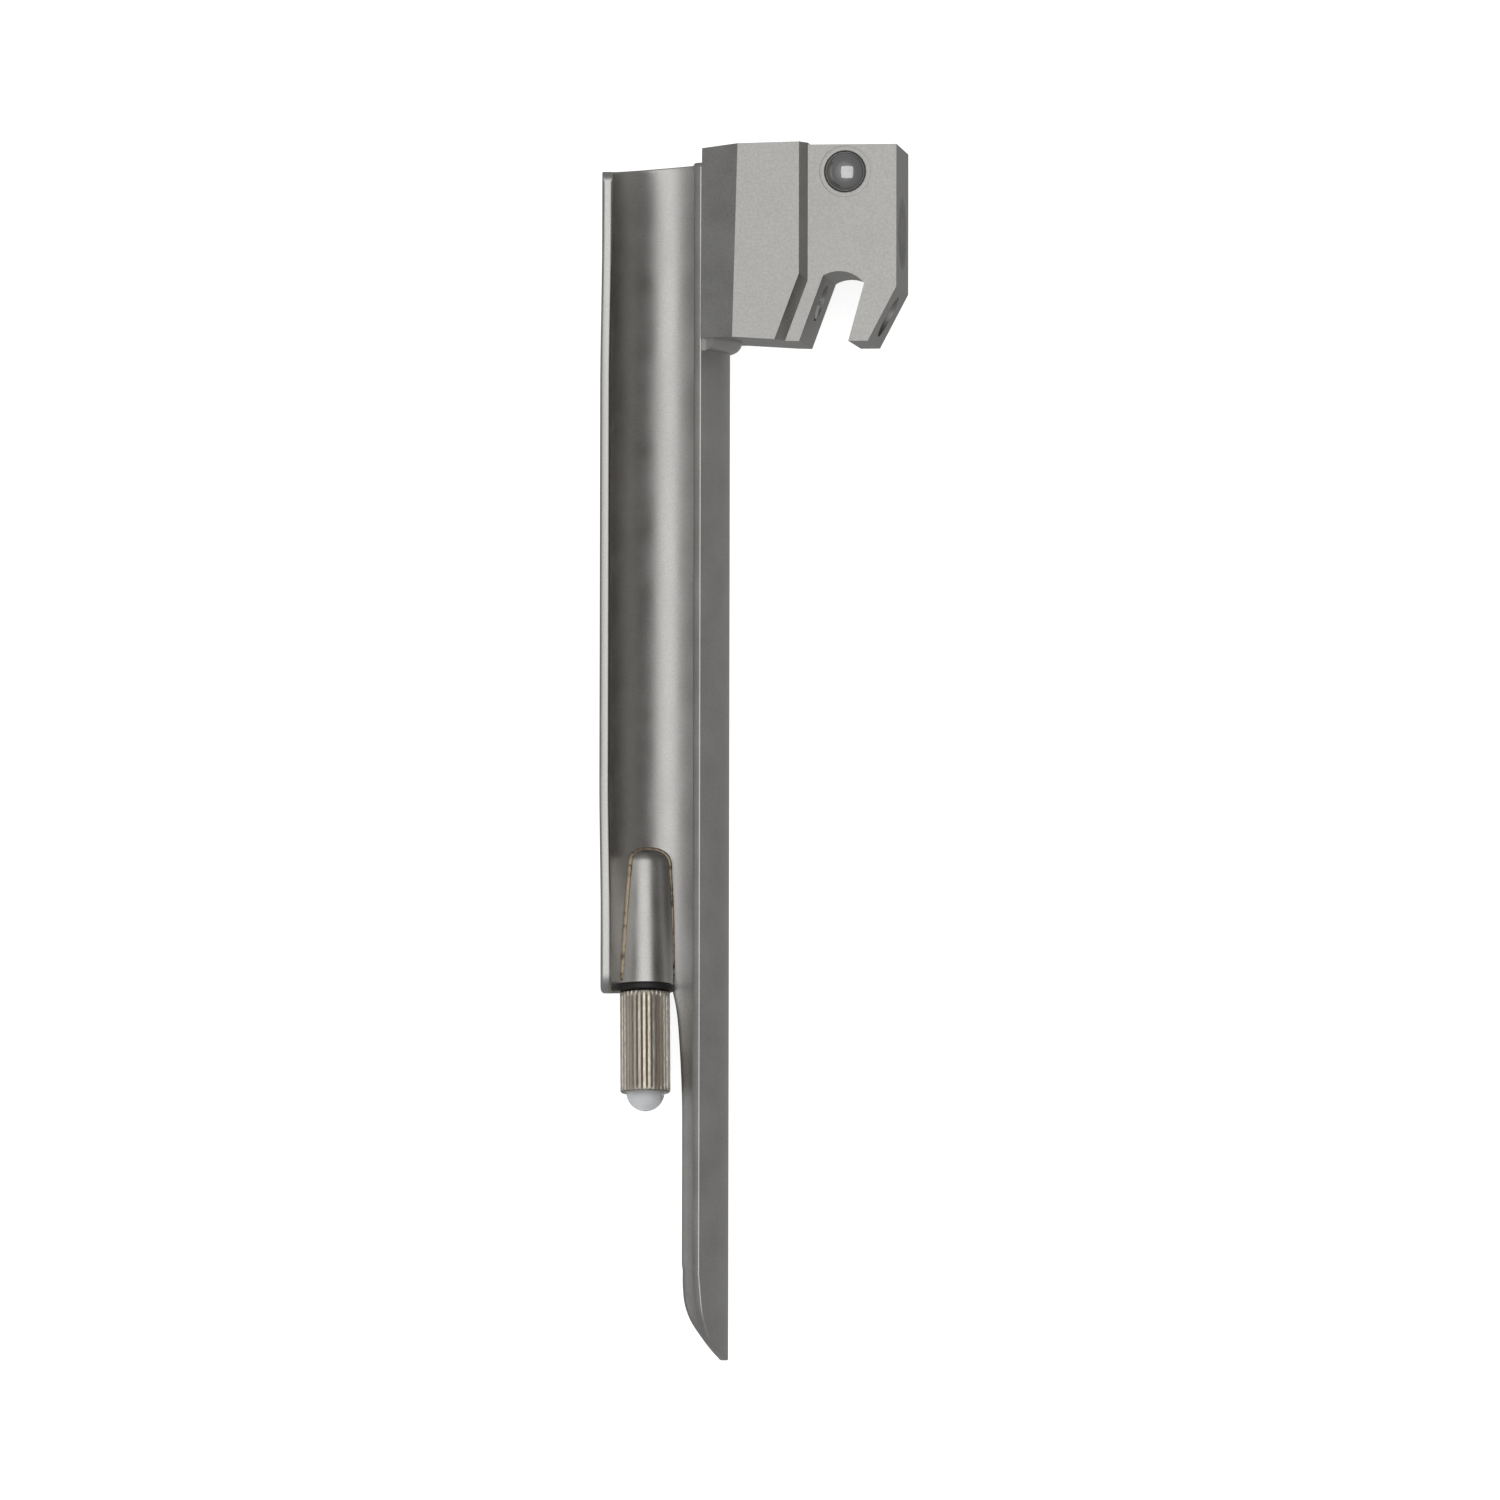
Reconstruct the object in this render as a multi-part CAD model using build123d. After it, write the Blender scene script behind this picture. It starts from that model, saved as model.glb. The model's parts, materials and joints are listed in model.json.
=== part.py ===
from build123d import *
import math
import os

# Straight child-size laryngoscope blade with a hook-on fitting and a screw-in lamp.
# Millimetres. +X points to the handle side, +Y to the user, +Z out of the open side of the
# channel. The origin is the axis of the handle's crossbar when it is home in the hook slot.

# ---- formed sheet: channel, flange, tongue ---------------------------------------------
CHANNEL_X = -19.1            # axis of the round channel, at z 0
CHANNEL_R = 5.8              # inside radius of the channel
SHEET = 1.1                  # thickness of the sheet
OUTER_R = CHANNEL_R + SHEET
TONGUE_LEAN = 26.5           # degrees that the tongue leans in over the channel
RIDGE_Z = 6.3                # free edge of the tongue
LIP_Z = 2.0                  # free edge of the flange
LIP_TUCK = 12.0              # degrees that the flange leans in at its two ends
HEEL_Y = 13.9                # end cut at the channel's axis
HEEL_NORMAL = (-0.075, 1, 0.07)
FLANGE_END_Y = -75.1
TIP_Y = -114.6

# ---- hook-on block ---------------------------------------------------------------------
CHEEK_Z = 6.35               # half the thickness that fits between the handle's ears
BODY_Z = 8.15                # raised body on the open side
HEEL_X = 6.45                # face that seats on the handle
SLOT_LEAN = 20.5             # degrees between the body's lower step and Y

# ---- latch -----------------------------------------------------------------------------
LATCH_X = 0.93
LATCH_Y = 12.7
BALL_R = 2.38
BALL_DEPTH = 1.12            # ball centre below the cheek
SLEEVE_R = 2.74
SLEEVE_BORE = 2.42
SLEEVE_LONG = 3.4
MOUTH_R = 2.17
SPRING_R = 1.55              # mean radius of the latch spring
SPRING_WIRE = 0.45

# ---- contact and lead ------------------------------------------------------------------
CONTACT_Y = 6.5
RECESS_R = 4.0
RECESS_DEEP = 0.7
INSULATOR_R = 3.3
BUTTON_R = 1.2
LEAD_R = 0.5
CORE_R = 0.22
LEAD_BORE = 0.85
PLUG_DEEP = 2.7              # insulator's wide part, from the heel face
STEM_R = 1.5                 # insulator's narrow part
STEM_DEEP = 4.25
BUTTON_DEEP = 3.85
BUTTON_SUNK = 0.45           # contact below the heel face
TUBE_R = 0.95
TUBE_BORE = 0.55
TUBE_SEAT = 0.9              # how far the tube's end is below its first route point
TUBE_IN = 11.0               # how deep the tube goes into the housing

# ---- lamp, in its own frame: +Z runs out of the socket, 0 is the end of the housing ------
LAMP_SEAT = (-21.9, -74.25, -4.9)
LAMP_TILT = 8.0              # degrees that the lamp rises towards the open side
LAMP_YAW = 1.5               # degrees that it turns towards the tongue
HOUSING_R = 3.05
HOUSING_LONG = 14.6
HOUSING_NOSE = 1.5           # rounding of its inner end
SEAM = 0.25                  # gap round the housing that the braze fills
THREAD_R = 1.9
THREAD_GAP = 0.05
THREAD_LONG = 5.0
SOCKET_R = 2.4               # bore of the housing
SOCKET_DEEP = 8.0
SOCKET_FLOOR = 6.0           # top of the socket's insulator
SOCKET_PIN_R = 0.7
SOCKET_PAD_R = 1.1
SOCKET_PAD = 0.4             # thickness of the pad that the lamp touches
SHELL_R = 2.7
SHELL_LONG = 11.0
FLUTES = 32
FLUTE_DEEP = 0.17
WASHER_R = 3.15
WASHER_THICK = 0.65
GAP = 0.015                  # clearance each side of the washer
GLASS_R = 2.05
GLASS_OUT = 2.0
GLASS_WALL = 0.4
GLASS_FOOT = 7.0             # where the glass starts inside the shell
BEAD_LONG = 1.2
LAMP_BORE = 1.35
FOOT_TOP = 3.8               # inner end of the lamp's foot
FOOT_PIN_R = 0.6
FOOT_PIN_OUT = 0.55
LEAD_WIRE_R = 0.12
WIRE_TOP = 11.0              # ends of the two wires, under the filament
FILAMENT_R = 0.15
FILAMENT_LONG = 1.24

# ---- cross screw, from the wall of the hook slot ------------------------------------------
FINGER_HOLE_R = 2.3
SCREW_HOLE_R = 2.0
SCREW_HEAD_R = 1.8
SCREW_HEAD = (0.15, 1.6)     # from, to
SCREW_R = 1.5
SCREW_END = 6.4

SHOULDER = WASHER_THICK + 2 * GAP
SHELL_END = SHOULDER + SHELL_LONG

STANDING = (Align.CENTER, Align.CENTER, Align.MIN)
tilt = math.radians(LAMP_TILT)
yaw = math.radians(LAMP_YAW)
lamp_axis = (math.cos(tilt) * math.sin(yaw), -math.cos(tilt) * math.cos(yaw), math.sin(tilt))
lamp_plane = Plane(origin=LAMP_SEAT, x_dir=(math.cos(yaw), math.sin(yaw), 0), z_dir=lamp_axis)


def on_circle(radius, degrees):
    """A point of a circle round the channel's axis, as (x, z)."""
    angle = math.radians(degrees)
    return (CHANNEL_X + radius * math.cos(angle), radius * math.sin(angle))


def section_plane(y):
    """A plane across the blade, with its own x along X and its own y along Z."""
    return Plane(origin=(0, y, 0), x_dir=(1, 0, 0), z_dir=(0, -1, 0))


def ring(plane, r_out, r_in, start, end):
    """A tube along the plane's normal, or a plain rod if r_in is 0."""
    body = plane.offset(start) * Cylinder(r_out, end - start, align=STANDING)
    if r_in:
        body -= plane.offset(start) * Cylinder(r_in, end - start, align=STANDING)
    return body


def bored(body, plane, radius, start, end):
    """body with a round hole along the plane's normal."""
    return body - ring(plane, radius, 0, start, end)


def turned(plane, points):
    """A solid turned round the plane's normal from (radius, height) points."""
    face = make_face(Polyline(*[(r, 0, h) for r, h in points], close=True))
    return plane * revolve(face, Axis.Z)


def wire_solid(path, radius):
    """A round wire along a path."""
    return sweep(Plane(path @ 0, z_dir=path % 0) * Circle(radius), path=path)


# ---- blade -----------------------------------------------------------------------------
def tuck(y):
    """Lean of the flange: none in the middle, LIP_TUCK at both ends."""
    if y > -10:
        share = min(1, (y + 10) / 24)
    elif y < -52:
        share = min(1, (-52 - y) / 22)
    else:
        share = 0
    return LIP_TUCK * share * share * (3 - 2 * share)


def blade_section(y):
    """The sheet's section: flange, round channel and tongue, with softened free edges."""
    lean = math.radians(TONGUE_LEAN)
    up = (-math.sin(lean), math.cos(lean))
    x0, z0 = on_circle(OUTER_R, TONGUE_LEAN)
    rise = (RIDGE_Z - z0) / up[1]
    ridge_out = (x0 + rise * up[0], RIDGE_Z)
    ridge_in = (ridge_out[0] - SHEET * up[1], ridge_out[1] + SHEET * up[0])
    a = math.radians(tuck(y))
    left = 180 - tuck(y)
    x1, z1 = on_circle(OUTER_R, left)
    climb = (LIP_Z - z1) / math.cos(a)
    lip_out = (x1 + climb * math.sin(a), LIP_Z)
    lip_in = (lip_out[0] + SHEET * math.cos(a), lip_out[1] - SHEET * math.sin(a))
    outline = [
        Line(lip_out, (x1, z1)),
        ThreePointArc((x1, z1), on_circle(OUTER_R, 270), (x0, z0)),
        Line((x0, z0), ridge_out),
        Line(ridge_out, ridge_in),
        Line(ridge_in, on_circle(CHANNEL_R, TONGUE_LEAN)),
        ThreePointArc(on_circle(CHANNEL_R, TONGUE_LEAN), on_circle(CHANNEL_R, 270), on_circle(CHANNEL_R, left)),
        Line(on_circle(CHANNEL_R, left), lip_in),
        Line(lip_in, lip_out),
    ]
    face = make_face(outline)
    for corner, radius in ((ridge_out, 0.15), (ridge_in, 0.6), (lip_out, 0.35), (lip_in, 0.35)):
        spot = face.vertices().sort_by_distance((corner[0], corner[1], 0))[0]
        face = fillet(spot, radius)
    return section_plane(y) * face


def prism_x(face, x_from, x_to):
    """A prism along X from a face whose own x is Y and own y is Z."""
    plane = Plane(origin=(x_from, 0, 0), x_dir=(0, 1, 0), z_dir=(1, 0, 0))
    return extrude(plane * face, x_to - x_from)


def corner_cutter(y, side, radius):
    """Rounds a corner of the flange at its free edge. side is the way out along Y."""
    centre = (y - side * radius, LIP_Z - radius)
    block = Pos(centre[0] + side * radius, centre[1] + radius) * Rectangle(2 * radius, 2 * radius)
    return prism_x(block - Pos(*centre) * Circle(radius), -30, -20)


def housing_shape(radius, nose, start):
    """The lamp housing's outside, or the hole it needs, rounded at its inner end."""
    body = ring(lamp_plane, radius, 0, start, 0)
    inner_end = body.edges().filter_by(GeomType.CIRCLE).sort_by_distance(lamp_plane.offset(start).origin)[0]
    return fillet(inner_end, nose)


def make_blade():
    stations = [16, 9, 2, -5, -12, -30, -50, -57, -64, -72, -80, -98, -117]
    sheet = loft([blade_section(y) for y in stations])
    sheet = split(sheet, bisect_by=Plane(origin=(CHANNEL_X, HEEL_Y, 0), z_dir=HEEL_NORMAL), keep=Keep.BOTTOM)
    # plan outline of what stays: flange end, narrow web, and the round tip
    web = Spline((-18.3, FLANGE_END_Y - 1), (-18.2, -80), (-18.05, -88), (-17.98, -97), (-18.05, -105.5),
                 (-17.8, -108.8), (-17.05, -110.85), (-15.6, -112.8), (-14.2, -114.2), (-13.3, TIP_Y))
    plan = make_face([
        Line((-40, 30), (-40, FLANGE_END_Y)),
        Line((-40, FLANGE_END_Y), (-19.3, FLANGE_END_Y)),
        ThreePointArc((-19.3, FLANGE_END_Y), (-18.6, FLANGE_END_Y - 0.3), (-18.3, FLANGE_END_Y - 1)),
        web,
        ThreePointArc((-13.3, TIP_Y), (-12.6, TIP_Y + 0.3), (-12.3, TIP_Y + 1.3)),
        Line((-12.3, TIP_Y + 1.3), (-12.3, -90)),
        Line((-12.3, -90), (0, -90)),
        Line((0, -90), (0, 30)),
        Line((0, 30), (-40, 30)),
    ])
    sheet = sheet & extrude(Pos(0, 0, -20) * plan, 40)
    # the tongue's free edge rounds down to the tip
    nose = Spline((-105, RIDGE_Z + 0.1), (-108.6, 5.8), (-110.6, 5.1), (-112.2, 4.2), (-113.6, 2.4),
                  (-114.4, 0), (-114.8, -4), tangents=[(-1, 0), (0, -1)])
    beyond = make_face([
        nose,
        Line((-114.8, -4), (-125, -4)),
        Line((-125, -4), (-125, 12)),
        Line((-125, 12), (-105, 12)),
        Line((-105, 12), (-105, RIDGE_Z + 0.1)),
    ])
    sheet -= prism_x(beyond, -21, -5)
    sheet -= corner_cutter(FLANGE_END_Y, -1, 2.4)
    sheet -= corner_cutter(HEEL_Y - 0.5, 1, 1.2)
    past_end = ring(lamp_plane, HOUSING_R + SEAM, 0, -1, 4)
    return sheet - housing_hole() - past_end - tube_groove()


def housing_hole():
    """The hole in the channel's wall that the housing is brazed into."""
    return housing_shape(HOUSING_R + SEAM, HOUSING_NOSE + 0.2, -HOUSING_LONG - SEAM)


def tube_groove():
    """Room for the conductor tube where it goes into the housing."""
    return ring(lamp_plane, TUBE_R + 0.08, 0, -22, -12)


# ---- hook-on block ---------------------------------------------------------------------
def outline_prism(points, z_from, z_to):
    return extrude(Pos(0, 0, z_from) * make_face(Polyline(*points, close=True)), z_to - z_from)


def channel_void():
    """Everything that the blade and its channel take from the block."""
    lean = math.radians(TONGUE_LEAN)
    x0, z0 = on_circle(OUTER_R, TONGUE_LEAN)
    run = (9 - z0) / math.cos(lean)
    edge = (x0 - run * math.sin(lean), 9)
    side = make_face(Polyline((x0, z0), edge, (-40, 9), (-40, 0), (CHANNEL_X, 0), close=True))
    disc = Pos(CHANNEL_X, 0) * Circle(OUTER_R)
    return extrude(section_plane(30) * (side + disc), 50)


def make_block():
    left, left_far = -14.9, -16.0                # both sides end on the blade's outer face
    step = math.tan(math.radians(SLOT_LEAN))
    kink = (-3.05, 1.1)
    foot_y = -5.35
    foot = (kink[0] - step * (kink[1] - foot_y), foot_y)
    body_top = [(-10.4, 15.65), (kink[0], 15.8)]
    hook = [(kink[0], 15.6), (HEEL_X, 15.6), (HEEL_X, 0.4), (3.4, -5.4), (1.3, -5.4), (-3.9, -5.4), foot]
    under = (-10.95, -5.0)

    cheek_near = outline_prism([(left, 15.3)] + body_top + hook + [under, (left, -5.0)], 0, CHEEK_Z)
    cheek_far = outline_prism([(left_far, 15.2)] + body_top + hook + [under, (left_far, -5.0)], -CHEEK_Z, 0)
    raised = outline_prism([(left, 15.3)] + body_top + [kink, foot, under, (left, -5.0)], CHEEK_Z, BODY_Z)
    upper_step = Plane(origin=(kink[0], 0, CHEEK_Z), z_dir=(1.8, 0, 0.75))
    along = Vector(foot[0] - kink[0], foot[1] - kink[1], 0)
    rising = Vector(-0.75, 0.6, BODY_Z - CHEEK_Z)
    lower_step = Plane(origin=(kink[0], kink[1], CHEEK_Z), z_dir=rising.cross(along) * -1)
    if lower_step.z_dir.X < 0:
        lower_step = Plane(origin=lower_step.origin, z_dir=lower_step.z_dir * -1)
    raised = split(raised, bisect_by=upper_step, keep=Keep.BOTTOM)
    raised = split(raised, bisect_by=lower_step, keep=Keep.BOTTOM)
    block = cheek_near + cheek_far + raised
    bevel = Plane(origin=(-10.4, 15.6, BODY_Z), z_dir=(-38.1, 1.0, 77.6))
    block = split(block, bisect_by=bevel, keep=Keep.BOTTOM)

    # boss for the conductor tube, on the closed side
    boss = Plane(origin=TUBE_ROUTE[0], x_dir=(1, 0, 0), z_dir=(0, 1, 0))
    block += ring(boss, 1.45, 0, -3.8, 3.7)
    block -= channel_void()

    # hook slot: two walls that open towards the mouth, and a shallow round seat
    slot = make_face([
        Line((1.3, -5.4), (3.0, 0.75)),
        ThreePointArc((3.0, 0.75), (0.5, 2.05), (-1.4, 1.6)),
        Line((-1.4, 1.6), (-3.9, -5.2)),
        Line((-3.9, -5.2), (-4.2, -6.0)),
        Line((-4.2, -6.0), (1.13, -6.0)),
        Line((1.13, -6.0), (1.3, -5.4)),
    ])
    block -= extrude(Pos(0, 0, -10) * slot, 20)

    # latch bore, from cheek to cheek
    latch = Plane(origin=(LATCH_X, LATCH_Y, 0))
    block = bored(block, latch, SLEEVE_BORE + 0.03, -CHEEK_Z - 2, CHEEK_Z + 2)
    block = bored(block, latch, SLEEVE_R, CHEEK_Z - SLEEVE_LONG, CHEEK_Z + 2)
    block = bored(block, latch, SLEEVE_R, -CHEEK_Z - 2, -CHEEK_Z + SLEEVE_LONG)

    # contact recess in the heel face
    recess = [(0, 0.5), (RECESS_R + 0.5, 0.5), (INSULATOR_R, -RECESS_DEEP), (0, -RECESS_DEEP)]
    block -= turned(contact_plane, recess)
    block = bored(block, contact_plane, INSULATOR_R, -PLUG_DEEP, 0)
    block = bored(block, contact_plane, STEM_R, -STEM_DEEP, 0)

    # lead bore: across the block, down to the tube, and the tube's own seat
    for start, end in zip(LEAD_ROUTE[:2], LEAD_ROUTE[1:3]):
        run = Plane(origin=start, z_dir=Vector(*end) - Vector(*start))
        block = bored(block, run, LEAD_BORE, 0, (Vector(*end) - Vector(*start)).length)
        block -= Pos(*end) * Sphere(LEAD_BORE)
    block = bored(block, boss, LEAD_BORE, -1.0, 0)
    block = bored(block, boss, TUBE_R, -5.0, -TUBE_SEAT)

    # finger hole in the hook, and the screw's counterbore behind the slot
    block = bored(block, screw_plane, FINGER_HOLE_R, 3.0, 12.0)
    block = bored(block, screw_plane, SCREW_HOLE_R, -SCREW_HEAD[1], 3.0)
    return bored(block, screw_plane, SCREW_R, -SCREW_END - 0.4, 0)


def make_block_braze(block_floor=-5.0, size=1.3):
    """Concave fillet between the block's underside and the blade's outer face."""
    lean = math.radians(TONGUE_LEAN)
    corner = [Line((0, 0), (size, 0)), RadiusArc((size, 0), (0, -size), size), Line((0, -size), (0, 0))]
    section = make_face(corner)
    floor = Plane(origin=(CHANNEL_X, block_floor, 0), x_dir=(1, 0, 0), z_dir=(0, 0, 1))
    beside = floor * (Pos(OUTER_R, 0) * section)
    channel_axis = Axis((CHANNEL_X, 0, 0), (0, 1, 0))
    round_part = revolve(beside, channel_axis, 42)
    upper_arc = revolve(beside, channel_axis, -TONGUE_LEAN)
    x0, z0 = on_circle(OUTER_R, TONGUE_LEAN)
    start = Plane(origin=(x0, block_floor, z0), x_dir=(math.cos(lean), 0, math.sin(lean)),
                  z_dir=(-math.sin(lean), 0, math.cos(lean)))
    straight = extrude(start * section, (RIDGE_Z - 0.5 - z0) / math.cos(lean))
    return round_part + upper_arc + straight


# ---- routes ----------------------------------------------------------------------------
def lamp_point(along):
    """A point on the lamp's axis, in the row frame."""
    return tuple(lamp_plane.offset(along).origin)


contact_plane = Plane(origin=(HEEL_X, CONTACT_Y, 0), x_dir=(0, 1, 0), z_dir=(1, 0, 0))
screw_plane = Plane(origin=(-2.4, -0.9, 0), z_dir=(7.24, -1.5, 0))
TUBE_ROUTE = [(-14.4, -1.2, -6.45), (-14.4, -8, -6.45), (-15.9, -21, -7.5), (-19.6, -38, -8.1),
              lamp_point(-21.4)]
TUBE_BENDS = [30, 60, 60, 30]
LEAD_ROUTE = [(2.2, CONTACT_Y, 0), (-9.0, CONTACT_Y, 0), TUBE_ROUTE[0]]
LEAD_BENDS = [1.2, 1.8]


def tube_path():
    """The conductor tube's axis, from its seat in the block to the housing."""
    start = (TUBE_ROUTE[0][0], TUBE_ROUTE[0][1] - TUBE_SEAT, TUBE_ROUTE[0][2])
    return FilletPolyline(start, *TUBE_ROUTE[1:], lamp_point(-TUBE_IN), radius=TUBE_BENDS)


def lead_path():
    """The lead's axis: across the block, down to the tube, through it to the socket."""
    points = [LEAD_ROUTE[0], LEAD_ROUTE[1]] + TUBE_ROUTE + [lamp_point(-SOCKET_DEEP)]
    return FilletPolyline(*points, radius=LEAD_BENDS + TUBE_BENDS)


# ---- lamp ------------------------------------------------------------------------------
def fluted_face():
    """Round section with shallow straight flutes."""
    points = []
    for step in range(FLUTES * 3):
        angle = math.tau * step / (FLUTES * 3)
        radius = SHELL_R - FLUTE_DEEP if step % 3 == 2 else SHELL_R
        points.append((radius * math.cos(angle), radius * math.sin(angle)))
    return make_face(Polyline(*points, close=True))


def make_shell():
    grip = lamp_plane.offset(SHOULDER) * extrude(fluted_face(), SHELL_LONG)
    shell = grip + ring(lamp_plane, THREAD_R, 0, -THREAD_LONG, SHOULDER + 1)
    shell = bored(shell, lamp_plane, LAMP_BORE, -THREAD_LONG, GLASS_FOOT)
    return bored(shell, lamp_plane, GLASS_R, GLASS_FOOT, SHELL_END)


def dome(radius, start, end):
    """A rod with a round outer end, along the lamp's axis."""
    rod = ring(lamp_plane, radius, 0, start, end)
    far_edge = rod.edges().filter_by(GeomType.CIRCLE).sort_by_distance(lamp_point(end))[0]
    return fillet(far_edge, radius * 0.93)


def make_leads(apart=1.0, shell_end=6.42):
    """Two wires: one straight down to the lamp's foot, one bent out to the shell."""
    straight = Pos(apart / 2, 0) * Cylinder(LEAD_WIRE_R, WIRE_TOP + FOOT_TOP, align=STANDING)
    bent = FilletPolyline((-LAMP_BORE + 0.01, 0, shell_end), (-apart / 2, 0, shell_end),
                          (-apart / 2, 0, WIRE_TOP), radius=0.25)
    return lamp_plane.offset(-FOOT_TOP) * straight + wire_solid(lamp_plane * bent, LEAD_WIRE_R)


# ---- latch -----------------------------------------------------------------------------
def make_sleeve(side):
    """Staked sleeve that keeps a ball in. side is 1 at the near cheek, -1 at the far one."""
    latch = Plane(origin=(LATCH_X, LATCH_Y, 0), z_dir=(0, 0, side))
    inner = CHEEK_Z - SLEEVE_LONG
    lip = CHEEK_Z - BALL_DEPTH + 0.55
    return turned(latch, [(SLEEVE_BORE, inner), (SLEEVE_R, inner), (SLEEVE_R, CHEEK_Z), (MOUTH_R, CHEEK_Z),
                          (SLEEVE_BORE, lip)])


def make_spring():
    """Compression spring that pushes both balls out."""
    wire = SPRING_WIRE / 2
    reach = CHEEK_Z - BALL_DEPTH - math.sqrt(BALL_R ** 2 - SPRING_R ** 2) - wire - 0.06
    turns = 6
    path = Helix(pitch=2 * reach / turns, height=2 * reach, radius=SPRING_R)
    coil = sweep(Plane(path @ 0, z_dir=path % 0) * Circle(wire), path=path, is_frenet=True)
    return Pos(LATCH_X, LATCH_Y, -reach) * coil


# ---- all parts -------------------------------------------------------------------------
def make_parts():
    parts = {}
    parts["blade"] = make_blade()
    parts["fitting_block"] = make_block()
    parts["block_braze"] = make_block_braze()

    housing = housing_shape(HOUSING_R, HOUSING_NOSE, -HOUSING_LONG)
    seam_band = section_plane(-52) * (Pos(CHANNEL_X, 0) * (Circle(OUTER_R + 0.1) - Circle(CHANNEL_R - 0.1)))
    seam = extrude(seam_band, 24) & (housing_hole() - housing - tube_groove())
    parts["housing_braze"] = seam.solids().sort_by(SortBy.VOLUME)[-1]
    housing = bored(housing, lamp_plane, SOCKET_R, -SOCKET_DEEP, 0)
    housing = bored(housing, lamp_plane, TUBE_BORE, -TUBE_IN, -SOCKET_DEEP)
    parts["lamp_housing"] = bored(housing, lamp_plane, TUBE_R, -HOUSING_LONG, -TUBE_IN)

    tube = tube_path()
    parts["conductor_tube"] = wire_solid(tube, TUBE_R) - wire_solid(tube, TUBE_BORE)
    lead = lead_path()
    core = wire_solid(lead, CORE_R)
    parts["lead_insulation"] = wire_solid(lead, LEAD_R) - core
    parts["lead_core"] = core

    plug = ring(contact_plane, INSULATOR_R, 0, -PLUG_DEEP, -RECESS_DEEP)
    plug += ring(contact_plane, STEM_R, 0, -STEM_DEEP, -PLUG_DEEP)
    plug = bored(plug, contact_plane, BUTTON_R, -BUTTON_DEEP, 0)
    parts["contact_insulator"] = bored(plug, contact_plane, LEAD_R, -STEM_DEEP, -BUTTON_DEEP)
    button = ring(contact_plane, BUTTON_R, 0, -BUTTON_DEEP, -BUTTON_SUNK)
    crown = button.edges().filter_by(GeomType.CIRCLE).sort_by(Axis.X)[-1]
    parts["contact_button"] = fillet(crown, 0.6)

    head_top, head_end = SCREW_HEAD
    screw = ring(screw_plane, SCREW_HEAD_R, 0, -head_end, -head_top)
    screw += ring(screw_plane, SCREW_R, 0, -SCREW_END, -head_end)
    parts["cross_screw"] = screw - screw_plane.offset(-head_top) * Box(0.5, 4, 1.1)

    near_latch = Pos(LATCH_X, LATCH_Y, CHEEK_Z - BALL_DEPTH)
    far_latch = Pos(LATCH_X, LATCH_Y, -CHEEK_Z + BALL_DEPTH)
    parts["detent_sleeve_near"] = make_sleeve(1)
    parts["detent_sleeve_far"] = make_sleeve(-1)
    parts["detent_ball_near"] = near_latch * Sphere(BALL_R)
    parts["detent_ball_far"] = far_latch * Sphere(BALL_R)
    parts["detent_spring"] = make_spring()

    parts["socket_sleeve"] = ring(lamp_plane, SOCKET_R, THREAD_R + THREAD_GAP, -SOCKET_FLOOR, -0.1)
    parts["socket_insulator"] = ring(lamp_plane, SOCKET_R, SOCKET_PIN_R, -SOCKET_DEEP, -SOCKET_FLOOR)
    pin = ring(lamp_plane, SOCKET_PIN_R, 0, -SOCKET_DEEP, -SOCKET_FLOOR)
    parts["socket_contact"] = pin + ring(lamp_plane, SOCKET_PAD_R, 0, -SOCKET_FLOOR, -SOCKET_FLOOR + SOCKET_PAD)

    parts["lamp_washer"] = ring(lamp_plane, WASHER_R, THREAD_R + THREAD_GAP, GAP, GAP + WASHER_THICK)
    parts["lamp_shell"] = make_shell()
    glass_top = SHELL_END + GLASS_OUT
    glass_in = GLASS_R - GLASS_WALL
    inside = dome(glass_in, GLASS_FOOT - 1, glass_top - GLASS_WALL)
    parts["lamp_glass"] = dome(GLASS_R, GLASS_FOOT, glass_top) - inside
    leads = make_leads()
    parts["lamp_bead"] = ring(lamp_plane, glass_in, 0, GLASS_FOOT, GLASS_FOOT + BEAD_LONG) - leads
    parts["lamp_leads"] = leads
    filament = Pos(0, 0, WIRE_TOP + FILAMENT_R) * Rot(0, 90, 0) * Cylinder(FILAMENT_R, FILAMENT_LONG)
    parts["lamp_filament"] = lamp_plane * filament
    parts["lamp_base_insulator"] = ring(lamp_plane, LAMP_BORE, FOOT_PIN_R, -THREAD_LONG, -FOOT_TOP)
    parts["lamp_tip_contact"] = ring(lamp_plane, FOOT_PIN_R, 0, -THREAD_LONG - FOOT_PIN_OUT, -FOOT_TOP)
    return parts


if __name__ == "__main__":
    os.makedirs("parts", exist_ok=True)
    for node, solid in make_parts().items():
        export_step(solid, f"parts/{node}.step")
        print(f"{node}: {solid.volume:.2f} mm3")
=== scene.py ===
import json
import math

import bmesh
import bpy
from mathutils import Matrix, Vector, noise
from mathutils.geometry import delaunay_2d_cdt


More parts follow.
